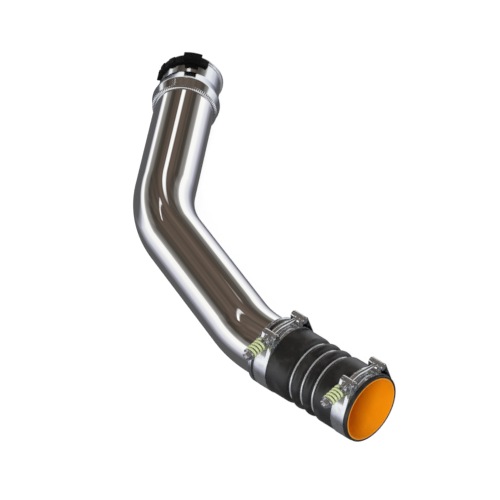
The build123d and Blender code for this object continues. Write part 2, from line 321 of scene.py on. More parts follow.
@dataclass(frozen=True)
class Silicone(Finish):
    """Wrapped silicone: a smooth skin that lets the cloth under it show faintly."""

    cloth: float = 0.25
    dust: Triple = (0.09, 0.09, 0.09)

    def dress(self, sheet: NodeSheet) -> None:
        """Adds the cloth's weave, the wrapping's soft waves and some dust.

        Args:
            sheet: The material's nodes.
        """
        where = sheet.place()
        weave = sheet.node(
            "ShaderNodeTexWave", wave_type="BANDS", bands_direction="X", Vector=where, Scale=190.0,
            Distortion=0.6,
        )
        sheet.bump(weave.outputs["Fac"], self.cloth * 0.3, 0.0001)
        sheet.bump(sheet.noise(where, 900.0, 2.0), self.cloth, 0.00015)
        sheet.bump(sheet.noise(where, 42.0, 2.0), 0.12, 0.001)
        haze = sheet.noise(where, 55.0, 5.0)
        sheet.shade(
            Coat_Weight=0.25,
            Coat_Roughness=0.3,
            Roughness=sheet.spread(haze, self.roughness * 0.85, self.roughness * 1.2),
            Base_Color=sheet.blend(sheet.spread(haze, 0.0, 0.5, 0.5, 0.8), self.colour, self.dust),
        )


@dataclass(frozen=True)
class MouldedPlastic(Finish):
    """Moulded plastic or rubber with a fine grained skin."""

    grain: float = 1400.0

    def dress(self, sheet: NodeSheet) -> None:
        """Adds the mould's grain and worn, paler patches.

        Args:
            sheet: The material's nodes.
        """
        where = sheet.place()
        wear = sheet.noise(where, 120.0, 4.0)
        pale = sheet.spread(wear, 0.0, 0.6, 0.5, 0.8)
        sheet.shade(
            Specular_IOR_Level=0.15,
            Roughness=sheet.spread(wear, self.roughness * 0.8, self.roughness * 1.15),
            Base_Color=sheet.blend(pale, self.colour, self.shades(1.9)),
        )
        sheet.bump(sheet.noise(where, self.grain, 2.0), 0.35, 0.0002)


POLISHED = PolishedMetal("polished_tube", Slot.POLISHED, (0.86, 0.855, 0.845), 0.02)
TURNED = TurnedMetal("turned_socket", Slot.TURNED, (0.77, 0.79, 0.81), 0.09)
BEAD = TurnedMetal("weld_metal", Slot.TURNED, (0.82, 0.84, 0.86), 0.14, 300.0)
STAINLESS = RolledMetal("rolled_stainless", Slot.STAINLESS, (0.76, 0.78, 0.80), 0.12, metal=0.94)
PLATED = RolledMetal("zinc_plated_wire", Slot.SPRING, (0.76, 0.84, 0.46), 0.34, metal=0.15)
WIRE = RolledMetal("drawn_wire", Slot.WIRE, (0.86, 0.88, 0.90), 0.24, metal=0.6)
COVER = Silicone("black_silicone", Slot.COVER, (0.012, 0.012, 0.012), 0.42)
LINER = Silicone("orange_silicone", Slot.LINER, (1.0, 0.36, 0.0), 0.5, 0.12, (1.0, 0.43, 0.005))
SEAL = MouldedPlastic("moulded_seal", Slot.SEAL, (0.02, 0.02, 0.02), 0.55)
PLASTIC = MouldedPlastic("moulded_grip", Slot.PLASTIC, (0.004, 0.004, 0.004), 0.55)


def only(items: list, kind: type) -> list:
    """The items of one kind, such as an operator's new vertices."""
    return [item for item in items if isinstance(item, kind)]


class Pen:
    """A bmesh that grows from a start by straight runs and round bends."""

    def __init__(self) -> None:
        """Starts with nothing drawn."""
        self.bm = bmesh.new()
        self.end: list = []

    def dot(self, x: float, y: float) -> None:
        """Starts at one point of the XY plane."""
        self.end = [self.bm.verts.new((x, y, 0.0))]

    def take_all(self, degrees: float = 0.0) -> None:
        """Turns the whole drawing round the X axis and takes it as the end.

        Args:
            degrees: The turn, by the right-hand rule.
        """
        turned = Matrix.Rotation(math.radians(degrees), 3, "X")
        bmesh.ops.rotate(self.bm, verts=self.bm.verts[:], cent=Vector(), matrix=turned)
        self.end = self.bm.verts[:] + self.bm.edges[:]

    def swell(self, verts: list[Vert], factor: float) -> None:
        """Scales vertices away from the X axis by a factor."""
        bmesh.ops.scale(self.bm, verts=verts, vec=Vector((1.0, factor, factor)))

    def strip(self, points: list[Vector]) -> None:
        """Starts with a row of points, joined in order by edges."""
        verts = [self.bm.verts.new(p) for p in points]
        self.end = verts + [self.bm.edges.new(pair) for pair in zip(verts, verts[1:])]

    def ring(self, radius: float, sides: int, place: Matrix = Matrix()) -> None:
        """Starts with a circle square to the place's own z.

        Args:
            radius: Its radius.
            sides: Its number of sides.
            place: Its centre and axes.
        """
        verts = bmesh.ops.create_circle(
            self.bm, cap_ends=False, radius=radius, segments=sides, matrix=place,
        )["verts"]
        self.end = verts + list(dict.fromkeys(edge for vert in verts for edge in vert.link_edges))

    def run(self, *way: float) -> list:
        """Carries the end along a straight line.

        Args:
            way: The move's parts along X, Y and Z; those left out are 0.

        Returns:
            The new faces.
        """
        edges = only(self.end, Edge)
        if edges:
            made = bmesh.ops.extrude_edge_only(self.bm, edges=edges)["geom"]
        else:
            made = bmesh.ops.extrude_vert_indiv(self.bm, verts=self.end)["verts"]
        verts = only(made, Vert)
        bmesh.ops.translate(self.bm, verts=verts, vec=Vector(way + (0.0,) * (3 - len(way))))
        fresh = set(verts)
        ends = [e for v in verts for e in v.link_edges if e.other_vert(v) in fresh]
        self.end = verts + list(dict.fromkeys(ends))
        return only(made, Face)

    def bend(
        self, centre: Vector, axis: Vector, degrees: float, steps: int, climb: Vector = Vector(),
    ) -> list:
        """Carries the end round an axis.

        Args:
            centre: A point on the axis.
            axis: The axis's direction.
            degrees: The turn, by the right-hand rule.
            steps: The number of steps.
            climb: The move along with each step, as for a spring.

        Returns:
            The new faces.
        """
        before = set(self.bm.faces)
        made = bmesh.ops.spin(
            self.bm, geom=self.end, cent=centre, axis=axis, dvec=climb,
            angle=math.radians(degrees), steps=steps,
        )
        self.end = made["geom_last"]
        return [face for face in self.bm.faces if face not in before]

    def round_corners(self, corners: dict[tuple[float, float], float], segments: int = 4) -> None:
        """Rounds corners of a drawn profile.

        Args:
            corners: The distance cut from each side of the corner nearest to each key.
            segments: The number of steps in each round.
        """
        for (x, y), size in corners.items():
            self.bm.verts.ensure_lookup_table()
            corner = min(self.bm.verts, key=lambda v: (v.co.x - x) ** 2 + (v.co.y - y) ** 2)
            bmesh.ops.bevel(
                self.bm, geom=[corner], offset=size, offset_type="OFFSET", affect="VERTICES",
                segments=segments, profile=0.5, material=-1,
            )

    def lathe(self, steps: int = 144) -> None:
        """Spins the whole drawing, made in the XY plane, once round the X axis."""
        bmesh.ops.spin(
            self.bm, geom=self.bm.verts[:] + self.bm.edges[:], cent=Vector(), axis=X_WAY,
            angle=math.tau, steps=steps, use_merge=True,
        )

    def close_profile(self, points: list[tuple[float, float]]) -> None:
        """Draws a closed profile in the XY plane.

        Args:
            points: Its corners in order.
        """
        verts = [self.bm.verts.new((x, y, 0.0)) for x, y in points]
        for pair in zip(verts, verts[1:] + verts[:1]):
            self.bm.edges.new(pair)

    def oblong(self, left: float, right: float, low: float, top: float) -> None:
        """Draws a closed oblong profile between two places on each axis of the XY plane."""
        self.close_profile([(left, low), (right, low), (right, top), (left, top)])

    def bar(self, radius: float, sides: int, place: Matrix, length: float, chamfer: float) -> None:
        """Draws a closed bar along the place's own z, with its rims turned off.

        Args:
            radius: Its radius, or half its width over the corners.
            sides: Its number of sides.
            place: The middle and axes of its first end.
            length: Its length.
            chamfer: The width of its rims.
        """
        way = place.col[2].xyz
        small = radius - chamfer
        self.ring(small, sides, place)
        self.run(*(way * chamfer))
        self.taper(radius / small)
        self.run(*(way * (length - 2 * chamfer)))
        self.run(*(way * chamfer))
        self.taper(small / radius)
        self.cap()

    def cap(self) -> None:
        """Closes the open ends with flat faces."""
        bmesh.ops.holes_fill(self.bm, edges=[e for e in self.bm.edges if e.is_boundary], sides=0)

    def soften(self, size: float, segments: int = 2, sharper: float = 30.0) -> None:
        """Bevels the edges that turn by more than an angle.

        Args:
            size: The bevel's width.
            segments: Its number of steps.
            sharper: The angle in degrees.
        """
        self.tidy()
        limit = math.radians(sharper)
        edges = [
            edge for edge in self.bm.edges
            if len(edge.link_faces) == 2 and edge.calc_face_angle(0.0) > limit
        ]
        bmesh.ops.bevel(
            self.bm, geom=edges, offset=size, offset_type="OFFSET", affect="EDGES",
            segments=segments, profile=0.5, material=-1, clamp_overlap=True,
        )

    def tidy(self) -> None:
        """Merges doubles and turns every face outwards."""
        bmesh.ops.remove_doubles(self.bm, verts=self.bm.verts[:], dist=0.0005)
        bmesh.ops.recalc_face_normals(self.bm, faces=self.bm.faces[:])

    def taper(self, factor: float) -> None:
        """Scales the end about its own middle.

        Args:
            factor: The scale.
        """
        verts = only(self.end, Vert)
        middle = sum((vert.co for vert in verts), Vector()) / len(verts)
        about = Matrix.Translation(-middle)
        bmesh.ops.scale(self.bm, verts=verts, vec=Vector((factor,) * 3), space=about)

    def add(self, other: "Pen") -> None:
        """Adds another drawing to this one.

        Args:
            other: The drawing that joins it, which is then closed.
        """
        spare = bpy.data.meshes.new("spare")
        other.bm.to_mesh(spare)
        other.bm.free()
        self.bm.from_mesh(spare)
        bpy.data.meshes.remove(spare)


class Maker:
    """Turns a pen's drawing into a finished piece and keeps count."""

    pieces: list[bpy.types.Object] = []

    @classmethod
    def finish(
        cls, name: str, pen: Pen, finish: Finish, nodes: tuple[str, ...], place: Matrix = Matrix(),
        sharp: float = 32.0, along: bool = False,
    ) -> bpy.types.Object:
        """Makes the piece, puts it in its place and lets it ride on the one body.

        Args:
            name: The piece's name.
            pen: Its drawing, in millimetres.
            finish: Its finish.
            nodes: The CAD nodes that it stands for.
            place: Its place, in millimetres.
            sharp: The angle in degrees past which an edge stays sharp.
            along: Whether the finish follows the piece's own axes.

        Returns:
            The object.
        """
        pen.tidy()
        pen.bm.transform(Matrix.Scale(MM, 4) @ place)
        mesh = bpy.data.meshes.new(name)
        pen.bm.to_mesh(mesh)
        pen.bm.free()
        mesh.shade_smooth()
        mesh.set_sharp_from_angle(angle=math.radians(sharp))
        piece = bpy.data.objects.new(name, mesh)
        bpy.context.scene.collection.objects.link(piece)
        own_axes = None
        if along:
            own_axes = place.copy()
            own_axes.translation = place.translation * MM
            own_axes.freeze()
        mesh.materials.append(finish.material(own_axes))
        even = piece.modifiers.new("even_normals", "WEIGHTED_NORMAL")
        even.keep_sharp = True
        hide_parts(*nodes)
        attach(piece, "root")
        cls.pieces.append(piece)
        log.info("%s: %d faces", name, len(mesh.polygons))
        return piece


def axes(origin: Vector, x: Vector, y: Vector) -> Matrix:
    """A place from its origin and its first two axes, which are square to each other."""
    return Matrix.Translation(origin) @ Matrix((x, y, x.cross(y))).transposed().to_4x4()


def facing_x(x: float) -> Matrix:
    """A place on the X axis whose own z points along it."""
    return axes(Vector((x, 0.0, 0.0)), Y_WAY, UP)


@dataclass
class Tube:
    """The bent tube, its stop ring, and the weld at its upper end."""

    outer: float = 76.2
    wall: float = 2.0
    bend_radius: float = 150.0
    lower_turn: float = 18.9
    upper_turn: float = 35.3
    mouth_to_bend: float = 195.0
    bend_to_bend: float = 247.0
    bend_to_socket: float = 199.0
    start: float = 107.4
    depth: float = 13.0
    ring_x: float = -155.2
    ring_width: float = 5.0
    ring_outer: float = 85.6
    ring_groove: float = 1.4
    ring_groove_depth: float = 1.0
    ring_round: float = 0.8

    def __post_init__(self) -> None:
        """Works out the corners and directions of the centreline."""
        self.middle_way = Matrix.Rotation(math.radians(-self.lower_turn), 3, "Z") @ -X_WAY
        self.upper_way = Matrix.Rotation(math.radians(-self.upper_turn), 3, "Z") @ self.middle_way
        self.lower_bend = Vector((-self.mouth_to_bend, 0.0, 0.0))
        self.upper_bend = self.lower_bend + self.middle_way * self.bend_to_bend
        self.weld_toe = self.upper_bend + self.upper_way * self.bend_to_socket
        self.socket_place = axes(
            self.weld_toe, self.upper_way, UP.cross(self.upper_way).cross(self.upper_way) * -1,
        )

    def build_tube(self) -> None:
        """Draws the tube's skin by runs and bends, and gives it its wall."""
        pen = Pen()
        pen.ring(self.outer / 2, 128, facing_x(-self.start))
        lower_cut = self.bend_radius * math.tan(math.radians(self.lower_turn / 2))
        upper_cut = self.bend_radius * math.tan(math.radians(self.upper_turn / 2))
        pen.run(-(self.mouth_to_bend - self.start - lower_cut))
        corner = self.lower_bend + X_WAY * lower_cut
        pen.bend(corner + Y_WAY * self.bend_radius, UP, -self.lower_turn, 20)
        pen.run(*(self.middle_way * (self.bend_to_bend - lower_cut - upper_cut)))
        corner = self.upper_bend - self.middle_way * upper_cut
        pen.bend(corner + self.middle_way.cross(UP) * self.bend_radius, UP, -self.upper_turn, 36)
        pen.run(*(self.upper_way * (self.bend_to_socket + self.depth - upper_cut)))
        pen.tidy()
        bmesh.ops.solidify(pen.bm, geom=pen.bm.faces[:], thickness=self.wall)
        pen.soften(0.4, 2, 60.0)
        Maker.finish("tube", pen, POLISHED, ("main_tube",))

    def build_ring(self) -> None:
        """Turns the stop ring: two rounded ridges with a groove between them."""
        pen = Pen()
        low, top = self.outer / 2 + SEAT_GAP, self.ring_outer / 2
        left, right = self.ring_x - self.ring_width / 2, self.ring_x + self.ring_width / 2
        near, far = self.ring_x - self.ring_groove / 2, self.ring_x + self.ring_groove / 2
        floor = top - self.ring_groove_depth
        pen.close_profile([
            (left, low), (right, low), (right, top), (far, top), (far, floor), (near, floor),
            (near, top), (left, top),
        ])
        pen.round_corners({(right, top): self.ring_round, (left, top): self.ring_round})
        pen.round_corners({(far, top): 0.7, (near, top): 0.7})
        pen.round_corners({(far, floor): 0.4, (near, floor): 0.4}, 2)
        pen.lathe(160)
        Maker.finish("stop_ring", pen, TURNED, ("stop_ring",), along=True)

    def build_weld(
        self, length: float = 3.35, crown: float = 41.3, ripples: int = 96, lift: float = 1.012,
    ) -> None:
        """Draws one ripple of the weld and repeats it all the way round.

        Args:
            length: The weld's length.
            crown: Its radius where it meets the socket.
            ripples: The number of ripples.
            lift: How much further out a ripple's crest lies than its foot.
        """
        pen = Pen()
        low = self.outer / 2 + SEAT_GAP
        pen.dot(length, low)
        pen.run(0.0, crown - low)
        turn = 90.0 - math.degrees(math.asin((low - crown + length) / length))
        pen.bend(Vector((length, crown - length, 0.0)), UP, turn, 8)
        step = 360.0 / ripples
        pen.take_all()
        for share, grow in ((0.35, 1.0), (0.25, lift), (0.25, 1.0), (0.15, 1.0 / lift)):
            pen.bend(Vector(), X_WAY, step * share, 1)
            pen.swell([vert for vert in only(pen.end, Vert) if vert.co.yz.length > low + 0.3], grow)
        bmesh.ops.spin(
            pen.bm, geom=pen.bm.verts[:] + pen.bm.edges[:] + pen.bm.faces[:], cent=Vector(),
            axis=X_WAY, angle=math.tau, steps=ripples, use_duplicate=True, use_merge=False,
        )
        bmesh.ops.remove_doubles(pen.bm, verts=pen.bm.verts[:], dist=0.005)
        Maker.finish("weld", pen, BEAD, ("weld_bead",), self.socket_place, 60.0, along=True)

    def build(self) -> None:
        """Builds the tube and its ring; the weld comes after the socket."""
        self.build_tube()
        self.build_ring()


@dataclass
class Hose:
    """The ribbed hose: its cover, its liner and the wire rings in its grooves."""

    length: float = 152.4
    liner_r: float = 38.2
    liner_wall: float = 1.5
    cover_wall: float = 2.6
    ply_gap: float = SEAT_GAP
    pitch: float = 17.5
    depth: float = 6.2
    groove_round: float = 3.3
    wire: float = 2.3

    def __post_init__(self) -> None:
        """Works out the wave and the grooves' places."""
        self.outer_r = self.liner_r + self.liner_wall + self.ply_gap + self.cover_wall
        half = self.pitch / 2
        self.angle = 2 * math.atan2(self.depth, half)
        self.rib_round = half / math.sin(self.angle) - self.groove_round
        self.places = [-self.length / 2 + k * self.pitch for k in (-1, 0, 1)]

    def layer(self, below: float, wall: float) -> Pen:
        """Draws one layer of the hose.

        Args:
            below: How far its outer face lies below the hose's.
            wall: Its thickness.

        Returns:
            The drawing, before its rims are rounded.
        """
        pen = Pen()
        top = self.outer_r - below
        half = self.pitch / 2
        turn = math.degrees(self.angle)
        crest = self.outer_r - self.rib_round
        valley = self.outer_r - self.depth + self.groove_round
        pen.dot(-self.length, top)
        for _ in range(6):
            pen.run((self.places[0] - half + self.length) / 6)
        for place in self.places:
            pen.bend(Vector((place - half, crest, 0.0)), UP, -turn, 7)
            pen.bend(Vector((place, valley, 0.0)), UP, 2 * turn, 14)
            pen.bend(Vector((place + half, crest, 0.0)), UP, -turn, 7)
        for _ in range(6):
            pen.run((-self.places[-1] - half) / 6)
        pen.lathe(128)
        pen.tidy()
        bmesh.ops.solidify(pen.bm, geom=pen.bm.faces[:], thickness=wall)
        return pen

    def build(self) -> None:
        """Builds the cover, the liner and the rings."""
        cover = self.layer(0.0, self.cover_wall)
        cover.soften(0.7, 3, 60.0)
        Maker.finish("hose_cover", cover, COVER, ("hose_cover",), sharp=50.0)
        liner = self.layer(self.cover_wall + self.ply_gap, self.liner_wall)
        liner.soften(0.4, 2, 60.0)
        Maker.finish("hose_liner", liner, LINER, ("hose_liner",), sharp=50.0)
        for number, place in enumerate(self.places, start=1):
            pen = Pen()
            radius = self.outer_r - self.depth + SEAT_GAP + self.wire / 2
            pen.ring(self.wire / 2, 16, Matrix.Translation((place, radius, 0.0)))
            pen.lathe(144)
            Maker.finish(f"hose_ring_{number}", pen, WIRE, (f"support_ring_{number}",))


@dataclass
class Clamp:
    """A spring-loaded T-bolt clamp, with x towards its nut and y away from the hose."""

    name: str
    x: float
    width: float = 19.2
    thickness: float = 0.6
    band_r: float = 42.4
    turn: float = 8.5
    pin_y: float = 45.6
    loop_x: float = 24.0
    lap: float = 26.0
    pin_r: float = 4.2
    pin_overhang: float = 0.6
    bolt_r: float = 3.0
    neck_r: float = 1.8
    neck_length: float = 30.0
    bend_x: float = 10.0
    bend_radius: float = 18.0
    tilt: float = 12.0
    reach: float = 44.5
    slot_side: float = 0.6
    inner_drop: float = 4.8
    outer_drop: float = 9.4
    sleeve_r: float = 4.6
    sleeve_length: float = 9.5
    seat_r: float = 7.4
    seat_thickness: float = 1.2
    spring_r: float = 7.7
    spring_wire: float = 2.9
    spring_pitch: float = 4.6
    spring_turns: float = 4.25
    washer_r: float = 7.7
    washer_thickness: float = 1.6
    nut_flats: float = 10.0
    nut_height: float = 5.0
    hole_r: float = 3.15
    chamfer: float = 0.5
    gap: float = SEAT_GAP

    def __post_init__(self) -> None:
        """Works out the clamp's place and the stack on its bolt."""
        turn = math.radians(self.turn)
        across = Vector((0.0, -math.cos(turn), math.sin(turn)))
        away = Vector((0.0, math.sin(turn), math.cos(turn)))
        self.place = axes(Vector((self.x, 0.0, 0.0)), across, away)
        rise = (self.loop_x - self.bend_x) * math.tan(math.radians(self.tilt))
        self.neck_tilt = math.degrees(math.atan2(rise, self.loop_x + self.bend_x))
        self.shank = self.place @ self.loop_axes(self.loop_x, -self.tilt)
        self.head = self.place @ self.loop_axes(-self.loop_x, self.neck_tilt)
        self.ring_r = self.band_r + self.thickness / 2
        self.lap_r = self.band_r + self.thickness + self.gap + self.thickness / 2
        self.wrap_r = self.pin_r + 0.1 + self.thickness / 2
        self.leg_x = self.loop_x - self.wrap_r
        self.leg_angle = math.degrees(math.asin(self.leg_x / self.ring_r))
        far = math.hypot(self.loop_x, self.pin_y)
        self.lap_start = math.degrees(
            math.atan2(self.loop_x, self.pin_y) + math.acos((self.lap_r - self.wrap_r) / far)
        )
        self.sleeve_x = self.pin_r + self.gap
        self.spring_x = self.sleeve_x + self.sleeve_length + self.gap
        spring_length = self.spring_turns * self.spring_pitch + self.spring_wire
        self.washer_x = self.spring_x + spring_length + self.gap
        self.nut_x = self.washer_x + self.washer_thickness + self.gap

    def loop_axes(self, x: float, degrees: float) -> Matrix:
        """A loop's own axes in the clamp's section, turned to the bolt there."""
        turned = Matrix.Rotation(math.radians(degrees), 4, "Z")
        return Matrix.Translation((x, self.pin_y, 0.0)) @ turned

    def put(
        self, part: str, pen: Pen, place: Matrix, finish: Finish = STAINLESS,
    ) -> bpy.types.Object:
        """Makes one of the clamp's pieces, which stands for the CAD node of the same name."""
        name = f"{self.name}_{part}"
        return Maker.finish(name, pen, finish, (name,), place)

    def half_band(self, tilt: float, sleeve: bool) -> Pen:
        """Draws half of the band as a sheet, from under the hose to the end of its lap.

        Args:
            tilt: The bolt's fall away from the gap, in degrees.
            sleeve: Whether the outer leg has a slot for the sleeve too.

        Returns:
            The half on the side of positive x.
        """
        inner = self.bolt_r + self.slot_side
        outer = self.sleeve_r + self.slot_side
        lanes = [-self.width / 2, -outer, -inner, inner, outer, self.width / 2]
        pen = Pen()
        pen.strip([Vector((0.0, -self.ring_r, z)) for z in lanes])
        pin = Vector((self.loop_x, self.pin_y, 0.0))
        pen.bend(Vector(), UP, 180.0 - self.leg_angle, 54)
        lift = self.wrap_r * math.tan(math.radians(tilt))
        slot_foot = self.pin_y - self.inner_drop + lift
        pen.run(0.0, slot_foot - math.cos(math.radians(self.leg_angle)) * self.ring_r)
        cut = self.middle(pen.run(0.0, self.inner_drop - lift), inner)
        rise = math.degrees(math.asin(inner / self.wrap_r)) + tilt
        cut += self.middle(pen.bend(pin, UP, -rise, 6), inner)
        pen.bend(pin, UP, rise - tilt - 90.0, 4)
        wide = pen.bend(pin, UP, tilt - self.lap_start, 8)
        start = pin + self.circle_point(self.wrap_r, self.lap_start)
        down = self.circle_point(self.lap_r, self.lap_start) - start
        outward = self.circle_point(1.0, tilt)
        share = (-self.outer_drop - (start - pin).dot(outward)) / down.dot(outward)
        wide += pen.run(*(down * share))
        pen.run(*(down * (1.0 - share)))
        pen.bend(Vector(), UP, -self.lap, 10)
        if sleeve:
            cut += self.middle(wide, outer)
        bmesh.ops.delete(pen.bm, geom=cut, context="FACES")
        return pen

    @staticmethod
    def middle(faces: list, reach: float) -> list:
        """The faces whose centres lie within a distance of the band's middle."""
        return [face for face in faces if abs(face.calc_center_median().z) < reach]

    @staticmethod
    def circle_point(radius: float, degrees: float) -> Vector:
        """A point at an angle from the y axis towards the x axis."""
        turn = math.radians(degrees)
        return Vector((radius * math.sin(turn), radius * math.cos(turn), 0.0))

    def build_band(self) -> None:
        """Joins the two halves of the band, rounds its slots and gives it its thickness."""
        pen = self.half_band(self.tilt, True)
        far = self.half_band(self.neck_tilt, False)
        far.bm.transform(Matrix.Scale(-1.0, 4, (1.0, 0.0, 0.0)))
        pen.add(far)
        pen.tidy()
        corners = [
            v for v in pen.bm.verts
            if v.is_boundary and len(v.link_faces) == 3 and abs(v.co.z) < self.width / 2 - 1.0
        ]
        bmesh.ops.bevel(
            pen.bm, geom=corners, offset=2.6, offset_type="OFFSET", affect="VERTICES",
            segments=4, profile=0.5, material=-1, clamp_overlap=True,
        )
        bmesh.ops.recalc_face_normals(pen.bm, faces=pen.bm.faces[:])
        piece = self.put("band", pen, self.place)
        wall = piece.modifiers.new("wall", "SOLIDIFY")
        wall.thickness = self.thickness * MM
        wall.offset = 0.0
        wall.use_even_offset = True
        edge = piece.modifiers.new("edge", "BEVEL")
        edge.width = 0.15 * MM
        edge.segments = 2
        edge.limit_method = "ANGLE"
        edge.angle_limit = math.radians(60.0)

    def build_bridge(self) -> None:
        """Draws the strip that closes the gap under the bolt."""
        half = math.degrees(math.asin((self.leg_x - self.thickness / 2 - 0.3) / self.ring_r))
        pen = Pen()
        start = self.circle_point(self.band_r + self.thickness, half)
        pen.strip([start + Vector((0.0, 0.0, z)) for z in (-self.width / 2, self.width / 2)])
        pen.bend(Vector(), UP, 2 * half, 20)
        pen.tidy()
        if sum(face.normal.y for face in pen.bm.faces) <= 0:
            bmesh.ops.reverse_faces(pen.bm, faces=pen.bm.faces[:])
        bmesh.ops.solidify(pen.bm, geom=pen.bm.faces[:], thickness=self.thickness)
        pen.soften(0.15, 2, 60.0)
        self.put("bridge", pen, self.place)

    def cross_pin(self, hollow: float = 0.0) -> Pen:
        """Draws a cross pin with rounded rims and, where asked, a dimple in each end.

        Args:
            hollow: The dimple's radius.

        Returns:
            The drawing.
        """
        half = self.width / 2 + self.pin_overhang
        pen = Pen()
        pen.bar(self.pin_r, 40, Matrix.Translation((0.0, 0.0, -half)), 2 * half, self.chamfer)
        if hollow:
            rim = self.pin_r - self.chamfer - hollow
            for face in [face for face in pen.bm.faces if len(face.verts) > 8]:
                bmesh.ops.inset_region(pen.bm, faces=[face], thickness=rim)
                side = math.copysign(0.7, face.calc_center_median().z)
                bmesh.ops.translate(pen.bm, verts=face.verts[:], vec=Vector((0.0, 0.0, -side)))
        return pen

    def build_bolt(
        self, pitch: float = 1.0, thread_depth: float = 0.55, tip: float = 0.7, runout: float = 0.6,
    ) -> None:
        """Draws the bolt's shank, bend and neck, its thread and its cross head.

        Args:
            pitch: The thread's pitch.
            thread_depth: The thread's depth.
            tip: The length of the cone at its free end.
            runout: The length over which the thread runs out.
        """
        core = self.bolt_r - thread_depth
        thread_from = self.sleeve_x + 2.0
        corner = (self.loop_x - self.bend_x) / math.cos(math.radians(self.tilt))
        turn = self.tilt + self.neck_tilt
        bend_cut = self.bend_radius * math.tan(math.radians(turn / 2))
        neck_way = Matrix.Rotation(math.radians(turn), 3, "Z") @ -X_WAY
        pen = Pen()
        pen.ring(core - tip, 32, facing_x(self.reach))
        pen.run(-tip)
        pen.taper(core / (core - tip))
        pen.run(thread_from - self.reach + tip)
        pen.run(-runout)
        pen.taper(self.bolt_r / core)
        pen.run(runout - thread_from - corner + bend_cut)
        pen.bend(Vector((bend_cut - corner, -self.bend_radius, 0.0)), UP, turn, 6)
        neck = math.hypot(self.loop_x + self.bend_x, corner * math.sin(math.radians(self.tilt)))
        pen.run(*(neck_way * (neck - bend_cut - self.neck_length)))
        pen.run(*(neck_way * self.neck_length))
        pen.taper(self.neck_r / self.bolt_r)
        pen.cap()
        turns = int((self.reach - thread_from - 0.4) / pitch) - 1
        thread = Pen()
        root = core - 0.05
        profile = ((0.0, root), (0.44, self.bolt_r), (0.56, self.bolt_r), (1.0, root))
        first = thread_from + 0.2
        thread.strip([Vector((first + along * pitch, out, 0.0)) for along, out in profile])
        thread.bend(Vector(), X_WAY, 360.0 * turns, 28 * turns, X_WAY * (pitch / 28))
        pen.add(thread)
        cross = self.cross_pin()
        cross.bm.transform(self.shank.inverted() @ self.head)
        pen.add(cross)
        self.put("t_bolt", pen, self.shank)

    def build_trunnion(self) -> None:
        """Draws the drilled cross pin; its hole is filled by the bolt."""
        self.put("trunnion", self.cross_pin(1.3), self.shank)

    def build_sleeve(self, flutes: int = 10) -> None:
        """Draws the fluted sleeve and the flange that the spring stands on.

        Args:
            flutes: The number of flutes.
        """
        pen = Pen()
        pen.ring(self.sleeve_r, 2 * flutes, facing_x(self.sleeve_x))
        pen.swell(pen.bm.verts[:][::2], 0.8)
        pen.run(self.sleeve_length - self.seat_thickness)
        pen.soften(0.45, 3, 20.0)
        pen.cap()
        flange = Pen()
        back = self.sleeve_x + self.sleeve_length
        front = back - self.seat_thickness
        flange.oblong(front, back, self.hole_r, self.seat_r)
        flange.round_corners({(back, self.seat_r): 0.45, (front, self.seat_r): 0.45}, 3)
        flange.lathe(56)
        pen.add(flange)
        self.put("sleeve", pen, self.shank)

    def build_spring(self) -> None:
        """Winds the spring's wire and closes its ends."""
        pen = Pen()
        radius = self.spring_r - self.spring_wire / 2
        lean = math.atan2(self.spring_pitch, math.tau * radius)
        start = Vector((self.spring_x + self.spring_wire / 2, radius, 0.0))
        facing = Matrix.Translation(start) @ Matrix.Rotation(lean, 4, "Y")
        pen.ring(self.spring_wire / 2, 20, facing)
        steps = int(44 * self.spring_turns)
        climb = X_WAY * (self.spring_pitch * self.spring_turns / steps)
        pen.bend(Vector(), X_WAY, 360.0 * self.spring_turns, steps, climb)
        pen.cap()
        pen.soften(0.35, 2, 60.0)
        self.put("spring", pen, self.shank, PLATED)

    def build_washer(self) -> None:
        """Turns the cupped washer under the nut."""
        pen = Pen()
        left, right = self.washer_x, self.washer_x + self.washer_thickness
        pen.oblong(left, right, self.hole_r, self.washer_r)
        pen.round_corners({(left, self.washer_r): 0.5, (right, self.washer_r): 0.5})
        pen.lathe(64)
        self.put("washer", pen, self.shank)

    def build_nut(self) -> None:
        """Draws the hexagon nut with its corners turned off."""
        pen = Pen()
        half_side = math.radians(30.0)
        corner = self.nut_flats / 2 / math.cos(half_side)
        place = facing_x(self.nut_x) @ Matrix.Rotation(half_side, 4, "Z")
        pen.bar(corner, 6, place, self.nut_height, self.chamfer)
        pen.soften(0.3, 3, 20.0)
        self.put("nut", pen, self.shank)

    def build(self) -> None:
        """Builds the clamp's eight pieces."""
        self.build_band()
        self.build_bridge()
        self.build_bolt()
        self.build_trunnion()
        self.build_sleeve()
        self.build_spring()
        self.build_washer()
        self.build_nut()


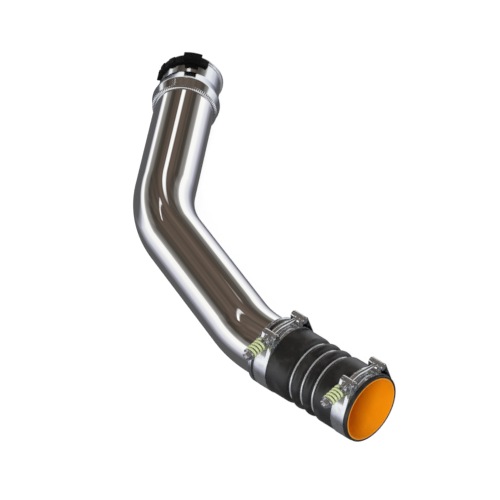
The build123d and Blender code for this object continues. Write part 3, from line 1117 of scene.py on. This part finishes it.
@dataclass
class Socket:
    """The push-on socket with its seal, and the spring clip behind its rim."""

    place: Matrix
    sleeve_start: float = 3.4
    sleeve_bore: float = 38.2
    sleeve_r: float = 41.3
    tube_depth: float = 13.0
    tube_bore: float = 36.1
    shoulder_end: float = 16.0
    lip_start: float = 14.6
    lip_end: float = 16.2
    lip_r: float = 43.8
    cone_end: float = 33.0
    body_r: float = 38.9
    length: float = 62.6
    bore_r: float = 36.6
    lead_in: float = 2.4
    rim_length: float = 2.4
    rim_r: float = 41.2
    seal_start: float = 19.0
    seal_end: float = 24.0
    seal_floor: float = 39.2
    window_start: float = 29.8
    window_angle: float = 24.5
    window_bridge: float = 10.0
    window_turn: float = -6.2
    clip_wire: float = 2.6
    clip_start: float = 57.4
    clip_floor: float = 38.0
    clip_open: float = 44.0
    clip_inset: float = 1.4
    seal_gap: float = 0.1
    seal_height: float = 3.0
    grip_length: float = 11.7
    grip_wall: float = 3.0
    grip_from: float = -78.0
    grip_to: float = 40.0
    block_from: float = -4.5
    block_span: float = 29.0
    block_height: float = 9.0
    lobe_starts: tuple[float, ...] = (-35.0, -59.0, -78.0)
    lobe_span: float = 12.0
    lobe_height: float = 4.4

    def build_body(self) -> None:
        """Turns the socket in sectors, opens its two windows and rounds its edges."""
        rim, bore, body = self.length - self.rim_length, self.bore_r, self.body_r
        mouth = bore + self.lead_in / 2
        slope = (self.lip_r - body) / (self.cone_end - self.lip_end)
        window_r = self.lip_r - (self.window_start - self.lip_end) * slope
        pen = Pen()
        pen.close_profile([
            (self.sleeve_start, self.sleeve_bore), (self.tube_depth, self.sleeve_bore),
            (self.tube_depth, self.tube_bore), (self.shoulder_end, self.tube_bore),
            (self.shoulder_end, bore), (self.seal_start, bore),
            (self.seal_start, self.seal_floor), (self.seal_end, self.seal_floor),
            (self.seal_end, bore), (self.window_start, bore), (self.cone_end, bore),
            (self.length - self.lead_in, bore), (self.length, mouth),
            (self.length, self.rim_r), (rim, self.rim_r), (rim, self.clip_floor),
            (self.clip_start, self.clip_floor), (self.clip_start, body),
            (self.cone_end, body), (self.window_start, window_r), (self.lip_end, self.lip_r),
            (self.lip_start, self.lip_r), (self.sleeve_start, self.sleeve_r),
        ])
        pen.round_corners({
            (self.length, self.rim_r): 0.8, (rim, self.rim_r): 0.4,
            (self.lip_end, self.lip_r): 0.7, (self.lip_start, self.lip_r): 0.7,
            (self.clip_start, body): 0.3, (self.length, mouth): 0.3,
        })
        pen.take_all(self.window_turn - self.window_bridge / 2 - self.window_angle)
        windows = pen.bend(Vector(), X_WAY, self.window_angle, 12)
        pen.bend(Vector(), X_WAY, self.window_bridge, 5)
        windows += pen.bend(Vector(), X_WAY, self.window_angle, 12)
        pen.bend(Vector(), X_WAY, 360.0 - self.window_bridge - 2 * self.window_angle, 150)
        bmesh.ops.remove_doubles(pen.bm, verts=pen.bm.verts[:], dist=0.004)
        holes = [
            face for face in windows
            if face.is_valid and self.window_start < face.calc_center_median().x < self.cone_end
        ]
        bmesh.ops.delete(pen.bm, geom=holes, context="FACES")
        split = math.radians(self.window_turn)
        rims = {True: [], False: []}
        for edge in [e for e in pen.bm.edges if e.is_boundary]:
            place = edge.verts[0].co
            rims[math.atan2(place.z, place.y) > split].append(edge)
        for loop in rims.values():
            bmesh.ops.bridge_loops(pen.bm, edges=loop)
        pen.tidy()
        Maker.finish("socket_body", pen, TURNED, ("socket",), self.place, 28.0, along=True)

    def build_seal(self) -> None:
        """Turns the seal with its rounded nose."""
        pen = Pen()
        left, right = self.seal_start + self.seal_gap, self.seal_end - self.seal_gap
        top = self.seal_floor - self.seal_gap
        nose = top - self.seal_height
        pen.oblong(left, right, nose, top)
        pen.round_corners({(left, nose): 1.0, (right, nose): 1.0})
        pen.round_corners({(left, top): 0.3, (right, top): 0.3})
        pen.lathe(128)
        Maker.finish("socket_seal", pen, SEAL, ("socket_seal",), self.place)

    def build_clip(self) -> None:
        """Bends the clip's wire round the socket and rounds its ends."""
        pen = Pen()
        radius = self.clip_floor + SEAT_GAP + self.clip_wire / 2
        middle = self.clip_start + self.clip_inset
        start = Matrix.Rotation(math.radians(180.0 + self.clip_open / 2), 4, "X")
        pen.ring(self.clip_wire / 2, 18, start @ Matrix.Translation((middle, radius, 0.0)))
        pen.bend(Vector(), X_WAY, 360.0 - self.clip_open, 150)
        pen.cap()
        pen.soften(0.5, 3, 60.0)
        Maker.finish("clip_wire", pen, WIRE, ("clip_ring",), self.place)

    def sector(self, pen: Pen, degrees: float, height: float) -> None:
        """Carries the grip's section on, and raises it to a height.

        Args:
            pen: The grip's drawing.
            degrees: The sector's angle.
            height: The sector's height above the socket.
        """
        base = self.body_r + SEAT_GAP
        faces = pen.bend(Vector(), X_WAY, degrees, max(1, round(abs(degrees) / 3.0)))
        skin = base + self.grip_wall
        top = [face for face in faces if face.calc_center_median().yz.length > skin - 0.2]
        if height > self.grip_wall:
            made = bmesh.ops.extrude_face_region(pen.bm, geom=top)["geom"]
            bmesh.ops.delete(pen.bm, geom=top, context="FACES_ONLY")
            pen.swell(only(made, Vert), (base + height) / skin)

    def build_grip(self) -> None:
        """Moulds the grip: a strap with a thumb block and three lobes."""
        pen = Pen()
        base = self.body_r + SEAT_GAP
        end = self.length - self.rim_length
        start = end - self.grip_length
        pen.oblong(start, end, base, base + self.grip_wall)
        pen.take_all(self.grip_from)
        at = self.grip_from
        raised = [(start, self.lobe_span, self.lobe_height) for start in sorted(self.lobe_starts)]
        raised.append((self.block_from, self.block_span, self.block_height))
        for begin, span, height in raised:
            if begin > at:
                self.sector(pen, begin - at, self.grip_wall)
            self.sector(pen, span, height)
            at = begin + span
        self.sector(pen, self.grip_to - at, self.grip_wall)
        pen.cap()
        pen.soften(0.55, 3, 35.0)
        Maker.finish("clip_grip", pen, PLASTIC, ("clip_grip",), self.place, 40.0)

    def build(self) -> None:
        """Builds the socket's four pieces."""
        self.build_body()
        self.build_seal()
        self.build_clip()
        self.build_grip()


@dataclass(frozen=True)
class Window:
    """A bright window or strip light in the ceiling, where polished metal mirrors it.

    It lies round the direction of its middle, as far as its reach, which is a cosine. A strip
    also keeps within half its width of a plane, given by a normal and an offset.
    """

    middle: Triple
    reach: float
    half_width: float = 0.5
    offset: float = -0.68
    plane: Triple = (0.0, 0.0, 1.0)

    def shape(self, sheet: NodeSheet, coords: Port) -> Port:
        """The window as a value, 1 inside it.

        Args:
            sheet: The world's nodes.
            coords: The direction's socket.

        Returns:
            The value's socket.
        """
        facing = sheet.toward(coords, self.middle)
        along = sheet.spread(facing, 0.0, 1.0, self.reach - 0.002, self.reach + 0.0005)
        away = sheet.maths("ADD", sheet.toward(coords, self.plane), self.offset)
        away = sheet.maths("ABSOLUTE", away)
        within = sheet.spread(away, 1.0, 0.0, 0.6 * self.half_width, 1.3 * self.half_width)
        return sheet.maths("MULTIPLY", along, within)


WINDOWS = (
    Window((-0.444, 0.583, 0.680), 0.9972),
    Window((-0.714, 0.205, 0.669), 0.983, 0.006, -0.672),
    Window((-0.630, 0.055, 0.775), 0.976, 0.011, 0.02, (-0.746, 0.128, -0.653)),
)

# The room's colours by height, from straight down at -1 to straight up at 1.
ROOM = (
    (-1.0, (0.10, 0.10, 0.105)), (-0.52, (0.105, 0.105, 0.11)), (-0.46, (0.19, 0.19, 0.22)),
    (-0.35, (0.38, 0.38, 0.46)), (-0.26, (0.66, 0.67, 0.76)), (-0.10, (0.84, 0.85, 0.87)),
    (0.02, (1.0, 1.0, 1.0)), (0.22, (1.0, 1.0, 1.0)), (0.25, (0.42, 0.41, 0.40)),
    (0.32, (0.24, 0.23, 0.215)), (0.41, (0.19, 0.18, 0.165)), (0.45, (0.085, 0.075, 0.065)),
    (0.53, (0.070, 0.058, 0.047)), (0.67, (0.115, 0.085, 0.066)), (1.0, (0.14, 0.11, 0.088)),
)


@dataclass
class Studio:
    """The pale floor, the room, the key lamp and the camera of the product photograph."""

    camera_at: Triple = (2.0806, -1.9429, 2.9044)
    looks: Triple = (-0.55617, 0.47923, -0.67898)
    right: Triple = (0.71635, 0.69064, -0.09932)
    lens: float = 253.34
    key_at: Triple = (1.1, -1.9, 1.6)
    key_aim: Triple = (-0.3, 0.12, 0.0)
    key_size: float = 0.8
    key_watts: float = 38.0

    def build_camera(self) -> None:
        """Makes the camera at the photograph's place, with its slight roll."""
        data = bpy.data.cameras.new("camera")
        data.lens = self.lens
        data.sensor_width = 36.0
        data.clip_end = 50.0
        camera = bpy.data.objects.new("camera", data)
        looks, right = Vector(self.looks).normalized(), Vector(self.right).normalized()
        camera.matrix_world = axes(Vector(self.camera_at), right, right.cross(looks))
        bpy.context.scene.collection.objects.link(camera)
        bpy.context.scene.camera = camera

    def build_floor(self) -> None:
        """Makes the floor, white to the camera but for the object's soft shadow."""
        low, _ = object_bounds()
        bm = bmesh.new()
        bmesh.ops.create_grid(bm, x_segments=1, y_segments=1, size=4.0)
        mesh = bpy.data.meshes.new("floor")
        bm.to_mesh(mesh)
        bm.free()
        floor = bpy.data.objects.new("floor", mesh)
        floor.location = (-0.3, 0.1, low.z - 0.0005)
        floor.visible_glossy = False
        bpy.context.scene.collection.objects.link(floor)
        floor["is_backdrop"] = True
        material = bpy.data.materials.new("floor")
        sheet = NodeSheet(material)
        sheet.shade(Base_Color=(0.8, 0.8, 0.8, 1.0), Roughness=0.9, Specular_IOR_Level=0.0)
        glow = sheet.node("ShaderNodeEmission", Color=WHITE, Strength=0.87)
        veil = sheet.node("ShaderNodeBsdfDiffuse", Color=(0.3, 0.3, 0.3, 1.0))
        both = sheet.node("ShaderNodeAddShader", glow.outputs[0], veil.outputs[0]).outputs[0]
        self.by_ray(sheet, "Is Camera Ray", sheet.shader.outputs[0], both, "Material Output")
        mesh.materials.append(material)

    @staticmethod
    def by_ray(sheet: NodeSheet, ray: str, other: Port, shown: Port, output: str = "") -> Port:
        """Shows one shader to one kind of ray, and another to the rest.

        Args:
            sheet: The nodes.
            ray: The kind of ray, as Light Path names it.
            other: The shader for the rest.
            shown: The shader for that kind.
            output: The output node that the result goes to, if any.

        Returns:
            The mixed shader's socket.
        """
        path = sheet.node("ShaderNodeLightPath")
        mix = sheet.node("ShaderNodeMixShader", path.outputs[ray], other, shown)
        if output:
            sheet.fill(sheet.tree.nodes[output], Surface=mix.outputs[0])
        return mix.outputs[0]

    def build_world(self) -> None:
        """Makes the room: in the metal a brown ceiling over pale walls, and white to the camera."""
        world = bpy.data.worlds.new("room")
        sheet = NodeSheet(world)
        coords = sheet.node("ShaderNodeTexCoord").outputs["Generated"]
        climb = sheet.node("ShaderNodeSeparateXYZ", coords).outputs["Z"]
        drop = sheet.spread(sheet.toward(coords, (-0.978, 0.208, 0.0)), 0.0, -0.5, 0.86, 0.97)
        below = sheet.spread(climb, 1.0, 0.0, 0.0, 0.15)
        height = sheet.maths("ADD", climb, sheet.maths("MULTIPLY", drop, below))
        ramp = sheet.node("ShaderNodeValToRGB", sheet.spread(height, 0.0, 1.0, -1.0, 1.0))
        stops = ramp.color_ramp.elements
        stops[0].color = (*ROOM[0][1], 1.0)
        stops[1].color = (*ROOM[-1][1], 1.0)
        for level, colour in ROOM[1:-1]:
            stops.new(0.5 + level / 2).color = (*colour, 1.0)
        lights = WINDOWS[0].shape(sheet, coords)
        for window in WINDOWS[1:]:
            lights = sheet.maths("MAXIMUM", lights, window.shape(sheet, coords))
        stretch = sheet.node("ShaderNodeMapping", Vector=coords, Scale=(1.0, 1.0, 0.06))
        streaks = sheet.noise(stretch.outputs["Vector"], 9.0, 5.0)
        streaks = sheet.spread(streaks, -0.3, 0.35, 0.36, 0.64)
        ceiling = sheet.spread(climb, 0.0, 1.0, 0.25, 0.45)
        room = sheet.node(
            "ShaderNodeBackground", Color=sheet.blend(lights, ramp.outputs["Color"], WHITE[:3]),
            Strength=sheet.maths("ADD", sheet.maths("MULTIPLY", streaks, ceiling), 1.12),
        )
        soft = sheet.node("ShaderNodeBackground", Color=WHITE, Strength=0.5)
        white = sheet.node("ShaderNodeBackground", Color=WHITE, Strength=1.0)
        seen = self.by_ray(sheet, "Is Glossy Ray", soft.outputs[0], room.outputs[0])
        self.by_ray(sheet, "Is Camera Ray", seen, white.outputs[0], "World Output")
        world.cycles.sampling_method = "NONE"
        bpy.context.scene.world = world

    def build_key(self) -> None:
        """Hangs the soft key lamp, which polished metal doesn't show."""
        data = bpy.data.lights.new("key", "AREA")
        data.shape = "RECTANGLE"
        data.size = data.size_y = self.key_size
        data.energy = self.key_watts
        lamp = bpy.data.objects.new("key", data)
        aim = Vector(self.key_aim) - Vector(self.key_at)
        turned = aim.to_track_quat("-Z", "Y").to_matrix().to_4x4()
        lamp.matrix_world = Matrix.Translation(self.key_at) @ turned
        lamp.visible_glossy = False
        bpy.context.scene.collection.objects.link(lamp)

    def build(self) -> None:
        """Builds the floor, the room, the key lamp and the camera."""
        bpy.context.scene.view_settings.view_transform = "Standard"
        self.build_floor()
        self.build_world()
        self.build_key()
        self.build_camera()


def main() -> None:
    """Builds the pieces in order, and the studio."""
    logging.basicConfig(level=logging.INFO, format="%(message)s")
    tube = Tube()
    tube.build()
    Hose().build()
    Clamp("tube_clamp", -138.2).build()
    Clamp("mouth_clamp", -14.2).build()
    Socket(tube.socket_place).build()
    tube.build_weld()
    log.info("%d pieces", len(Maker.pieces))
    Studio().build()


if __name__ == "__main__":
    main()
